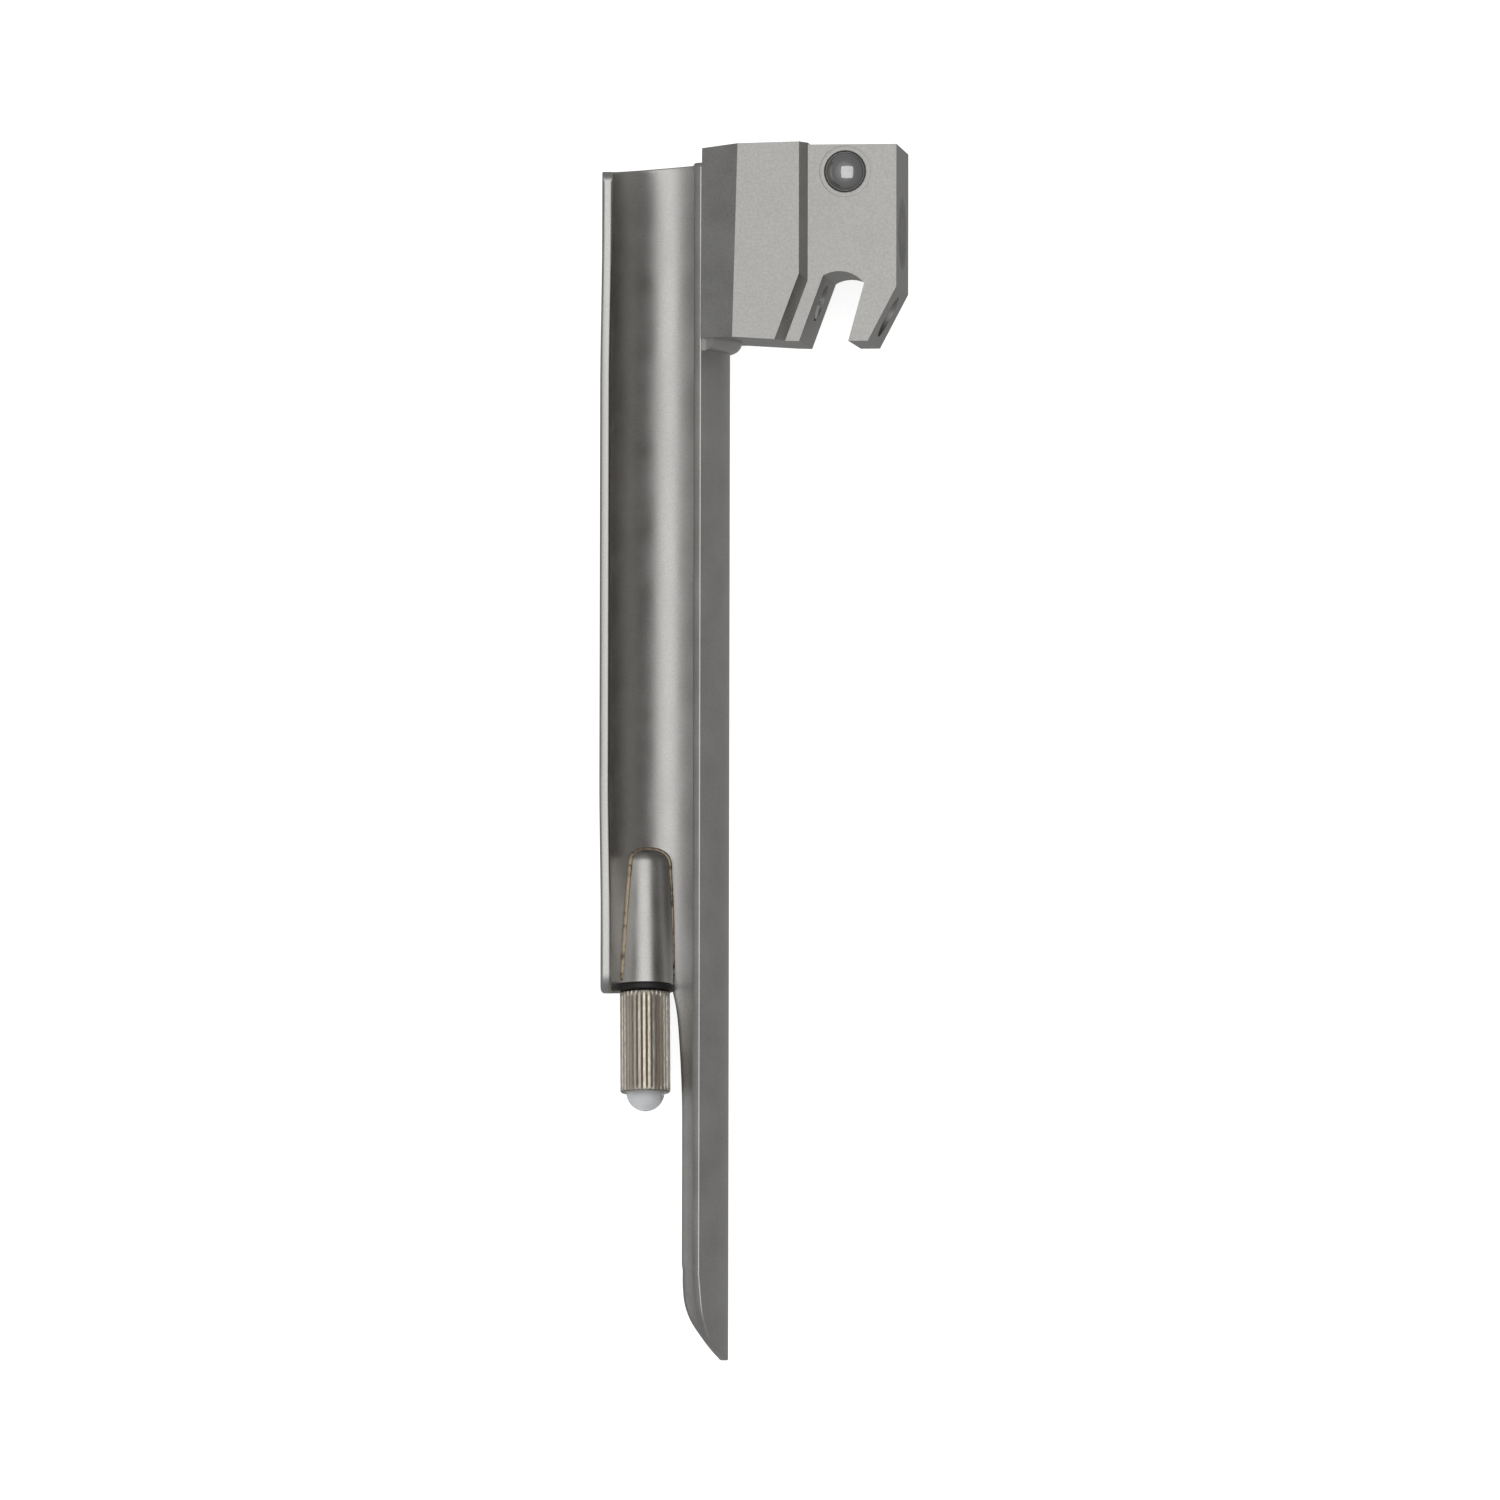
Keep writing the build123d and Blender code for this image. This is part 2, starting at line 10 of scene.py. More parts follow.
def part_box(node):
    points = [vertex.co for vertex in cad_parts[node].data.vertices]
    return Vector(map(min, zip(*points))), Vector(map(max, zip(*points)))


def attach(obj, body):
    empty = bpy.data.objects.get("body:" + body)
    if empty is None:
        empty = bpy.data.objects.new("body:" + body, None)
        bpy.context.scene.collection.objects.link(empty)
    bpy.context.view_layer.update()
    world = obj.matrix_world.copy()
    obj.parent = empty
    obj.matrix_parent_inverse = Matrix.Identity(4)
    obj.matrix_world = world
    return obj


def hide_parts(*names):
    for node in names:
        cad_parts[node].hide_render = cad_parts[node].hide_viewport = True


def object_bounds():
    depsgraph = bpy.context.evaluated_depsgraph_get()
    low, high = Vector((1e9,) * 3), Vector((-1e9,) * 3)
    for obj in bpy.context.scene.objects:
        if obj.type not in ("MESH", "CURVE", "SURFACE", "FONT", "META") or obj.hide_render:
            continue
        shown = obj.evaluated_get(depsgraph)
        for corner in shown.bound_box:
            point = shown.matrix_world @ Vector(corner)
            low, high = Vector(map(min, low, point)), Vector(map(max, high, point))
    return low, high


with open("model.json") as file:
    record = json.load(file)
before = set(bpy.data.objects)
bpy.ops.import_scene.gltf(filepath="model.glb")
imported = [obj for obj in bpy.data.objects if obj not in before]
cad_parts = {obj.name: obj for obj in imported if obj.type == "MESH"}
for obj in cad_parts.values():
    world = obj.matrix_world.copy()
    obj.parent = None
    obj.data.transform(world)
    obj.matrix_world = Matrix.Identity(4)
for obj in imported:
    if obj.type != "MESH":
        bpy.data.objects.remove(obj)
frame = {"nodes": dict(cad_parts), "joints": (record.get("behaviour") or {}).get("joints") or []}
cad_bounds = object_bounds()

MM = 0.001


def span(node):
    """Lowest and highest corner of a CAD node, in millimetres."""
    low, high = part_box(node)
    return Vector(low) / MM, Vector(high) / MM


# ---- what the frame says, in millimetres ------------------------------------------------
blade_low, blade_high = span("blade")
OUTER_R = -blade_low.z                       # outside of the round channel
CHANNEL_X = blade_high.x - OUTER_R           # its axis, at z 0
SHEET = 1.1                                  # thickness of the sheet
MID_R = OUTER_R - SHEET / 2
CHANNEL_R = OUTER_R - SHEET
RIDGE_Z = 6.3                                # free edge of the tongue
LIP_Z = 2.0                                  # free edge of the flange
LEAN = math.radians(26.5)                    # the tongue leans in over the channel
LIP_TUCK = math.radians(12)                  # the flange leans in at its two ends
FLANGE_END_Y = -75.1
HEEL_Y = 13.9
HEEL_SLOPE = (0.075, -0.07)                  # how the heel cut runs with x and z

joints = {joint["name"]: joint for joint in frame["joints"]}
SEAT = Vector(joints["lamp_turn"]["pos_m"]) / MM
OUT = Vector(joints["lamp_turn"]["axis"]).normalized()     # the way the lamp comes out
UP = (Vector((0, 0, 1)) - OUT * OUT.z).normalized()
ACROSS = UP.cross(OUT)
LAMP_FRAME = Matrix((ACROSS, UP, OUT)).transposed().to_4x4()
LAMP_FRAME.translation = SEAT
HOUSING_R = 3.05
HOUSING_LONG = 14.6
HOUSING_NOSE = 1.5                           # rounding of its inner end
SOCKET_R = 2.4                               # bore of the housing
SOCKET_DEEP = 8.0
TUBE_R = 0.95                                # seat of the conductor tube, behind the socket
TUBE_IN = 11.0
LAMP_TURNS = 7                               # that many take the lamp out
PITCH = joints["lamp_travel"]["range_m"][1] / MM / LAMP_TURNS


# ---- meshes -----------------------------------------------------------------------------
def mesh_object(name, vertices, faces, sharp=35.0, matrix=None):
    """A smooth mesh object from millimetre vertices. Edges over the sharp angle stay crisp."""
    mesh = bpy.data.meshes.new(name)
    if matrix is not None:
        vertices = [matrix @ Vector(v) for v in vertices]
    mesh.from_pydata([Vector(v) * MM for v in vertices], [], faces)
    build = bmesh.new()
    build.from_mesh(mesh)
    bmesh.ops.remove_doubles(build, verts=build.verts, dist=1e-7)
    bmesh.ops.dissolve_degenerate(build, edges=build.edges, dist=1e-7)
    bmesh.ops.recalc_face_normals(build, faces=build.faces)
    build.to_mesh(mesh)
    build.free()
    mesh.polygons.foreach_set("use_smooth", [True] * len(mesh.polygons))
    mesh.set_sharp_from_angle(angle=math.radians(sharp))
    obj = bpy.data.objects.new(name, mesh)
    bpy.context.scene.collection.objects.link(obj)
    return obj


def stands_for(obj, node, material, body):
    """Gives a new piece its material and its body, and hides the CAD node that it stands in for."""
    obj.data.materials.append(material)
    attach(obj, body)
    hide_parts(node)


def soften(profile, radius, steps=4, closed=True):
    """Rounds every corner of a (radius, height) outline that turns, by at most that radius."""
    result = []
    count = len(profile)
    for i, corner in enumerate(profile):
        corner = Vector(corner)
        if not closed and i in (0, count - 1):
            result.append(corner)
            continue
        before = Vector(profile[i - 1]) - corner
        after = Vector(profile[(i + 1) % count]) - corner
        if corner.x < 1e-6 or before.angle(after) > math.radians(165):
            result.append(corner)
            continue
        cut = min(radius, before.length * 0.45, after.length * 0.45)
        start = corner + before.normalized() * cut
        end = corner + after.normalized() * cut
        for k in range(steps + 1):
            t = k / steps
            result.append(start * (1 - t) ** 2 + corner * 2 * t * (1 - t) + end * t ** 2)
    return result


def lathe(profile, around, radius_at, closed):
    """Vertices and faces of a (radius, height) outline turned round Z."""
    vertices = []
    faces = []
    rows = len(profile)
    for r, h in profile:
        for k in range(around):
            angle = math.tau * k / around
            reach = r if radius_at is None else radius_at(r, h, angle)
            vertices.append((reach * math.cos(angle), reach * math.sin(angle), h))
    for row in range(rows if closed else rows - 1):
        below = row * around
        above = ((row + 1) % rows) * around
        for k in range(around):
            nxt = (k + 1) % around
            faces.append((below + k, below + nxt, above + nxt, above + k))
    return vertices, faces


def turned_piece(name, profile, matrix, around=96, closed=True, sharp=35.0, radius_at=None):
    """A turned mesh object whose own Z is laid along the matrix's Z."""
    vertices, faces = lathe(profile, around, radius_at, closed)
    return mesh_object(name, vertices, faces, sharp, matrix)


def smooth_curve(knots, per_span=12):
    """A Catmull-Rom curve through the knots."""
    points = []
    for i in range(len(knots) - 1):
        p1, p2 = Vector(knots[i]), Vector(knots[i + 1])
        p0 = Vector(knots[i - 1]) if i else p1 * 2 - p2
        p3 = Vector(knots[i + 2]) if i + 2 < len(knots) else p2 * 2 - p1
        for k in range(per_span):
            t = k / per_span
            points.append(0.5 * ((2 * p1) + (p2 - p0) * t + (2 * p0 - 5 * p1 + 4 * p2 - p3) * t ** 2
                                 + (3 * p1 - p0 - 3 * p2 + p3) * t ** 3))
    points.append(Vector(knots[-1]))
    return points


def evenly(points, step):
    """The same polyline with points about a step apart."""
    lengths = [0.0]
    for a, b in zip(points, points[1:]):
        lengths.append(lengths[-1] + (b - a).length)
    count = max(1, round(lengths[-1] / step))
    result = []
    i = 0
    for k in range(count + 1):
        want = lengths[-1] * k / count
        while i < len(points) - 2 and lengths[i + 1] < want:
            i += 1
        gap = lengths[i + 1] - lengths[i]
        share = (want - lengths[i]) / gap if gap > 1e-9 else 0
        result.append(points[i].lerp(points[i + 1], share))
    return result


# ---- camera -----------------------------------------------------------------------------
def make_camera(distance=900.0, swing=6.9, drop=1.15, roll=0.11, lens=201.1):
    """Looks down into the open channel, from a little to the handle's side."""
    target = Vector((-9.91, -48.9, 0.0))     # about the middle of the blade, seen from above
    away = Vector((math.sin(math.radians(swing)), -math.sin(math.radians(drop)), 1.0)).normalized()
    data = bpy.data.cameras.new("camera")
    data.lens = lens
    data.sensor_width = 36.0
    camera = bpy.data.objects.new("camera", data)
    bpy.context.scene.collection.objects.link(camera)
    place = target + away * distance
    right = Vector((0, 1, 0)).cross(away).normalized()
    above = away.cross(right)
    turn = Matrix((right, above, away)).transposed() @ Matrix.Rotation(math.radians(roll), 3, "Z")
    camera.matrix_world = Matrix.Translation(place * MM) @ turn.to_4x4()
    data.clip_start = 0.01
    bpy.context.scene.camera = camera


make_camera()


# ---- materials --------------------------------------------------------------------------
def new_material(name):
    """A material, its node tree and its shader."""
    material = bpy.data.materials.new(name)
    material.use_nodes = True
    return material, material.node_tree, material.node_tree.nodes["Principled BSDF"]


def grain_node(tree, scale, detail=3.0, stretch=(1, 1, 1)):
    """Noise in the object's own metres, stretched along an axis if asked."""
    place = tree.nodes.new("ShaderNodeTexCoord")
    mapping = tree.nodes.new("ShaderNodeMapping")
    mapping.inputs["Scale"].default_value = stretch
    grain = tree.nodes.new("ShaderNodeTexNoise")
    grain.inputs["Scale"].default_value = scale
    grain.inputs["Detail"].default_value = detail
    tree.links.new(place.outputs["Object"], mapping.inputs["Vector"])
    tree.links.new(mapping.outputs["Vector"], grain.inputs["Vector"])
    return grain


def ramp_node(tree, source, low, high, start=0.3, end=0.7):
    """Maps an output that runs from start to end to a range from low to high."""
    ramp = tree.nodes.new("ShaderNodeMapRange")
    ramp.inputs["From Min"].default_value = start
    ramp.inputs["From Max"].default_value = end
    ramp.inputs["To Min"].default_value = low
    ramp.inputs["To Max"].default_value = high
    tree.links.new(source, ramp.inputs["Value"])
    return ramp.outputs["Result"]


def tint_node(tree, factor, dark, light):
    """A colour between dark, where the factor is 0, and light, where it is 1."""
    mix = tree.nodes.new("ShaderNodeMix")
    mix.data_type = "RGBA"
    mix.inputs["A"].default_value = (*dark, 1)
    mix.inputs["B"].default_value = (*light, 1)
    tree.links.new(factor, mix.inputs["Factor"])
    return mix.outputs["Result"]


def bump_node(tree, shader, height, depth):
    """Bump of that depth, in metres."""
    bump = tree.nodes.new("ShaderNodeBump")
    bump.inputs["Strength"].default_value = 1.0
    bump.inputs["Distance"].default_value = depth
    tree.links.new(height, bump.inputs["Height"])
    tree.links.new(bump.outputs["Normal"], shader.inputs["Normal"])


def metal(name, dark, light, rough, grain=6000.0, depth=6e-6, patch_rough=0.05):
    """Metal with a fine grain, and broad faint patches in its colour and gloss."""
    material, tree, shader = new_material(name)
    shader.inputs["Metallic"].default_value = 1.0
    broad = grain_node(tree, 220.0, 2.0)
    fine = grain_node(tree, grain, 4.0)
    fine_share = 0.55
    both = tree.nodes.new("ShaderNodeMath")
    both.operation = "MULTIPLY_ADD"
    both.inputs[1].default_value = fine_share
    tree.links.new(fine.outputs["Fac"], both.inputs[0])
    rest = tree.nodes.new("ShaderNodeMath")
    rest.operation = "MULTIPLY"
    rest.inputs[1].default_value = 1 - fine_share
    tree.links.new(broad.outputs["Fac"], rest.inputs[0])
    tree.links.new(rest.outputs[0], both.inputs[2])
    mottle = ramp_node(tree, both.outputs[0], 0, 1, 0.35, 0.65)
    gloss = ramp_node(tree, broad.outputs["Fac"], rough - patch_rough, rough + patch_rough)
    tree.links.new(tint_node(tree, mottle, dark, light), shader.inputs["Base Color"])
    tree.links.new(gloss, shader.inputs["Roughness"])
    bump_node(tree, shader, fine.outputs["Fac"], depth)
    return material


def sheet_steel():
    """Blasted sheet, with a thin dark brown line painted along the inside of its lip: painted warm reflection
    and shade under the lip's free edge.
    """
    material = metal("sheet_steel", (0.45, 0.44, 0.425), (0.57, 0.56, 0.545), 0.38)
    tree = material.node_tree
    shader = tree.nodes["Principled BSDF"]
    steel = shader.inputs["Base Color"].links[0].from_socket
    # painted warm reflection and shade: an attribute on the blade mixes dark brown into the steel along the
    # inside of the lip
    line = tree.nodes.new("ShaderNodeAttribute")
    line.attribute_name = "brown_amount"
    brown = (0.15, 0.11, 0.075, 1)
    mix = tree.nodes.new("ShaderNodeMix")
    mix.data_type = "RGBA"
    mix.inputs["B"].default_value = brown
    tree.links.new(line.outputs["Fac"], mix.inputs["Factor"])
    tree.links.new(steel, mix.inputs["A"])
    tree.links.new(mix.outputs["Result"], shader.inputs["Base Color"])
    return material


def plain(name, dark, light, rough):
    """Moulded or extruded stuff with a faint mottle."""
    material, tree, shader = new_material(name)
    shader.inputs["Roughness"].default_value = rough
    speckle = grain_node(tree, 3000.0)
    tree.links.new(tint_node(tree, speckle.outputs["Fac"], dark, light), shader.inputs["Base Color"])
    bump_node(tree, shader, speckle.outputs["Fac"], 8e-6)
    return material


def knurled_nickel():
    """Warm nickel plate, browner in its grooves: the groove depth is stored on the mesh."""
    material, tree, shader = new_material("knurled_nickel")
    shader.inputs["Metallic"].default_value = 1.0
    groove = tree.nodes.new("ShaderNodeAttribute")
    groove.attribute_name = "groove"
    wear = grain_node(tree, 5200.0, 4.0, (1, 0.35, 1))
    brown_amount = tree.nodes.new("ShaderNodeMath")
    brown_amount.operation = "MULTIPLY_ADD"
    brown_amount.inputs[1].default_value = 0.55
    tree.links.new(wear.outputs["Fac"], brown_amount.inputs[0])
    tree.links.new(groove.outputs["Fac"], brown_amount.inputs[2])
    factor = ramp_node(tree, brown_amount.outputs[0], 0, 1, 0.34, 1.05)
    clean, browned = (0.70, 0.66, 0.59), (0.36, 0.30, 0.22)
    tree.links.new(tint_node(tree, factor, clean, browned), shader.inputs["Base Color"])
    tree.links.new(ramp_node(tree, wear.outputs["Fac"], 0.34, 0.56), shader.inputs["Roughness"])
    bump_node(tree, shader, wear.outputs["Fac"], 1.6e-5)
    return material


def braze_metal():
    """Dull filler, pale gold with dark brown specks."""
    material, tree, shader = new_material("braze")
    shader.inputs["Metallic"].default_value = 0.85
    shader.inputs["Roughness"].default_value = 0.5
    blotch = grain_node(tree, 1500.0, 5.0)
    speck, gold = (0.09, 0.065, 0.045), (0.42, 0.35, 0.26)
    factor = ramp_node(tree, blotch.outputs["Fac"], 0, 1, 0.3, 0.52)
    tree.links.new(tint_node(tree, factor, speck, gold), shader.inputs["Base Color"])
    bump_node(tree, shader, blotch.outputs["Fac"], 5e-5)
    return material


def frosted_glass():
    """Glass with a rough, slightly uneven surface."""
    material, tree, shader = new_material("frosted_glass")
    shader.inputs["Base Color"].default_value = (0.95, 0.96, 0.97, 1)
    shader.inputs["Transmission Weight"].default_value = 0.8
    shader.inputs["IOR"].default_value = 1.47
    frost = grain_node(tree, 7000.0, 2.0)
    tree.links.new(ramp_node(tree, frost.outputs["Fac"], 0.34, 0.5), shader.inputs["Roughness"])
    bump_node(tree, shader, frost.outputs["Fac"], 4e-6)
    return material


SHEET_STEEL = sheet_steel()
BLOCK_STEEL = metal("block_steel", (0.375, 0.37, 0.357), (0.475, 0.47, 0.455), 0.44,
                    grain=4200.0, depth=1.1e-5)
BALL_STEEL = metal("polished_steel", (0.36, 0.36, 0.365), (0.46, 0.46, 0.465), 0.07,
                   depth=4e-7, patch_rough=0.02)
TURNED_STEEL = metal("screw_steel", (0.55, 0.55, 0.54), (0.70, 0.70, 0.69), 0.28)
SPRING_STEEL = metal("spring_steel", (0.42, 0.42, 0.43), (0.56, 0.56, 0.57), 0.3)
NICKEL = knurled_nickel()
PLATED = metal("nickel_plate", (0.60, 0.56, 0.49), (0.72, 0.68, 0.60), 0.26)
BRASS = metal("brass", (0.62, 0.47, 0.22), (0.80, 0.64, 0.36), 0.3)
COPPER = metal("copper", (0.66, 0.34, 0.20), (0.82, 0.48, 0.32), 0.3)
TUNGSTEN = metal("tungsten", (0.26, 0.26, 0.27), (0.38, 0.38, 0.39), 0.4)
BRAZE = braze_metal()
GLASS = frosted_glass()
RUBBER = plain("black_rubber", (0.008, 0.008, 0.008), (0.022, 0.021, 0.02), 0.55)
INSULATOR = plain("dark_insulator", (0.03, 0.027, 0.024), (0.07, 0.065, 0.058), 0.42)
CERAMIC = plain("white_ceramic", (0.74, 0.72, 0.67), (0.86, 0.85, 0.81), 0.5)
JACKET = plain("lead_jacket", (0.30, 0.03, 0.025), (0.48, 0.07, 0.06), 0.5)

CAD_MATERIALS = {                            # nodes whose CAD shape is shown
    "fitting_block": BLOCK_STEEL,
    "block_braze": SHEET_STEEL,
    "conductor_tube": SHEET_STEEL,
    "lead_insulation": JACKET,
    "lead_core": COPPER,
    "contact_insulator": INSULATOR,
    "cross_screw": TURNED_STEEL,
    "detent_spring": SPRING_STEEL,
    "socket_sleeve": BRASS,
    "socket_insulator": CERAMIC,
    "socket_contact": BRASS,
    "lamp_bead": GLASS,
    "lamp_leads": COPPER,
    "lamp_base_insulator": CERAMIC,
    "lamp_tip_contact": BRASS,
}
for node, material in CAD_MATERIALS.items():
    cad_object = frame["nodes"][node]
    cad_object.data.materials.clear()
    cad_object.data.materials.append(material)


# ---- blade ------------------------------------------------------------------------------
TANGENT_S = MID_R * (math.pi / 2 + LEAN)     # where the round channel turns into the tongue
RIDGE_S = TANGENT_S + (RIDGE_Z - SHEET / 2 * math.sin(LEAN) - MID_R * math.sin(LEAN)) / math.cos(LEAN)


def tuck(y):
    """Lean of the flange: none in the middle, rising smoothly to LIP_TUCK at both ends."""
    if y > -10:
        share = min(1, (y + 10) / 24)
    elif y < -52:
        share = min(1, (-52 - y) / 22)
    else:
        share = 0
    return LIP_TUCK * share * share * (3 - 2 * share)


def sheet_point(s, y):
    """A point of the sheet's middle layer and its outward normal, s along its section from the floor."""
    lean = tuck(y)
    flange_s = -MID_R * (math.pi / 2 + lean)
    angle = -math.pi / 2 + min(max(s, flange_s), TANGENT_S) / MID_R
    normal = Vector((math.cos(angle), 0, math.sin(angle)))
    point = Vector((CHANNEL_X, y, 0)) + normal * MID_R
    if s > TANGENT_S:
        point += Vector((-normal.z, 0, normal.x)) * (s - TANGENT_S)
    elif s < flange_s:
        point += Vector((normal.z, 0, -normal.x)) * (flange_s - s)
    return point, normal


def lip_s(y):
    """Where the flange's free edge is, along the section."""
    lean = tuck(y)
    climb = (LIP_Z - OUTER_R * math.sin(lean)) / math.cos(lean)
    return -MID_R * (math.pi / 2 + lean) - climb


def heel_y(s):
    """Where the slanted heel cut ends the sheet."""
    point = sheet_point(s, HEEL_Y)[0]
    return HEEL_Y + HEEL_SLOPE[0] * (point.x - CHANNEL_X) + HEEL_SLOPE[1] * point.z


def tongue_s(z):
    """Distance along the section of the point whose outer face is at height z."""
    climb = OUTER_R * math.sin(LEAN)
    if z < climb:
        return MID_R * (math.pi / 2 + math.asin(z / OUTER_R))
    return TANGENT_S + (z - climb) / math.cos(LEAN)


def housing_radius(along, radius, nose):
    """Radius of the housing, rounded at its inner end."""
    inward = along + HOUSING_LONG + (radius - HOUSING_R)
    if inward >= nose:
        return radius
    return radius - nose + math.sqrt(max(0.0, nose ** 2 - (nose - inward) ** 2))


def on_housing(along, angle, radius, nose):
    """A point of the housing's surface, in the row frame."""
    reach = housing_radius(along, radius, nose)
    return SEAT + OUT * along + (ACROSS * math.cos(angle) + UP * math.sin(angle)) * reach


def housing_seam(channel_radius, radius, nose, steps=72):
    """Where the housing meets a round surface of the channel, from right to left over its nose."""
    def outside(along, angle):
        point = on_housing(along, angle, radius, nose)
        return math.hypot(point.x - CHANNEL_X, point.z) > channel_radius

    seam = []
    for k in range(-20, steps + 40):
        angle = math.pi * k / steps
        low, high = -HOUSING_LONG - (radius - HOUSING_R) + 1e-4, 0.0
        if outside(high, angle) or not outside(low, angle):
            continue
        for _ in range(30):
            middle = (low + high) / 2
            if outside(middle, angle):
                low = middle
            else:
                high = middle
        seam.append(on_housing(high, angle, radius, nose))
    return seam


def arc_2d(centre, radius, start, end, steps=8):
    """Points of a flat arc between two angles."""
    return [Vector((centre[0] + radius * math.cos(a), centre[1] + radius * math.sin(a)))
            for a in (start + (end - start) * k / steps for k in range(steps + 1))]


def blade_outline():
    """The sheet's outline in (s, y), and for each point how round its outer and inner edges are."""
    heel_round, end_round, ridge_round = 1.2, 2.4, 0.6
    heel_steps, lip_steps = 60, 240
    tip_start_y, web_s = -105, 1.3

    notch = [Vector((MID_R * math.atan2(p.x - CHANNEL_X, -p.z), p.y))
             for p in housing_seam(MID_R, HOUSING_R + 0.05, HOUSING_NOSE)]
    notch = [p for p in notch if p.y > FLANGE_END_Y + 0.3]

    heel_left = lip_s(12)
    heel_start = heel_left + heel_round
    heel_run = RIDGE_S - ridge_round - heel_left - heel_round
    heel = []
    for k in range(heel_steps + 1):
        s = heel_start + heel_run * k / heel_steps
        heel.append(Vector((s, heel_y(s))))
    heel_corner = arc_2d((heel_start, heel[0].y - heel_round), heel_round, math.pi, math.pi / 2)
    ridge_corner = arc_2d((RIDGE_S - ridge_round, heel[-1].y - ridge_round), ridge_round, math.pi / 2, 0)
    ridge = [Vector((RIDGE_S, ridge_corner[-1].y)), Vector((RIDGE_S, tip_start_y))]

    end_left = lip_s(FLANGE_END_Y)
    lip_run = heel_corner[0].y - FLANGE_END_Y - end_round
    lip_edge = []
    for k in range(lip_steps + 1):
        y = FLANGE_END_Y + end_round + lip_run * k / lip_steps
        lip_edge.append(Vector((lip_s(y), y)))
    lip_edge[-1] = heel_corner[0]
    end_corner = arc_2d((end_left + end_round, FLANGE_END_Y + end_round), end_round, 1.5 * math.pi, math.pi)
    end_cut = [notch[-1], Vector((notch[-1].x - 0.25, FLANGE_END_Y)),
               Vector((end_left + end_round, FLANGE_END_Y))]

    tip = smooth_curve([(RIDGE_S, tip_start_y), (tongue_s(5.8), -108.6), (tongue_s(5.1), -110.6),
                        (tongue_s(4.2), -112.2), (tongue_s(2.4), -113.5), (tongue_s(0), -114.35),
                        (8.2, -114.4), (6.2, -113.9), (4.3, -112.7), (2.5, -110.8), (1.6, -108.9),
                        (1.32, -106.9), (web_s, tip_start_y)])
    web = smooth_curve([(web_s, tip_start_y), (web_s, -98), (web_s, -91), (1.25, -86), (0.95, -80.5),
                        (0.6, -77), (notch[0].x, notch[0].y)])

    # how far the outer and the inner edge are rounded
    sharp, soft, lip = (0.14, 0.14), (0.15, 0.45), (0.3, 0.3)
    stretches = [(end_corner, 0.3, lip), (lip_edge, 0.8, lip), (heel_corner, 0.25, sharp), (heel, 0.4, sharp),
                 (ridge_corner, 0.2, sharp), (ridge, 0.8, soft), (tip, 0.35, soft), (web, 0.6, sharp),
                 (notch, 0.4, sharp), (end_cut, 0.4, sharp)]
    same_place = 0.05
    outline, edges = [], []
    for points, step, edge in stretches:
        for point in evenly(points, step):
            if outline and (point - outline[-1]).length < same_place:
                continue
            outline.append(point)
            edges.append(edge)
    if (outline[0] - outline[-1]).length < same_place:
        outline.pop()
        edges.pop()
    return outline, edges


def inset(outline, distance):
    """The outline moved inwards, for one that runs clockwise."""
    moved = []
    count = len(outline)
    for i, point in enumerate(outline):
        run_in = (point - outline[i - 1]).normalized()
        run_out = (outline[(i + 1) % count] - point).normalized()
        along = (run_in + run_out).normalized()
        inward = Vector((along.y, -along.x))
        stretch = 1 / max(0.6, along.dot(run_in))
        moved.append(point + inward * distance * stretch)
    return moved


def inside(point, outline):
    """True if a point lies inside a closed outline."""
    hit = False
    for a, b in zip(outline, outline[1:] + outline[:1]):
        if (a.y > point.y) != (b.y > point.y):
            if point.x < a.x + (point.y - a.y) * (b.x - a.x) / (b.y - a.y):
                hit = not hit
    return hit


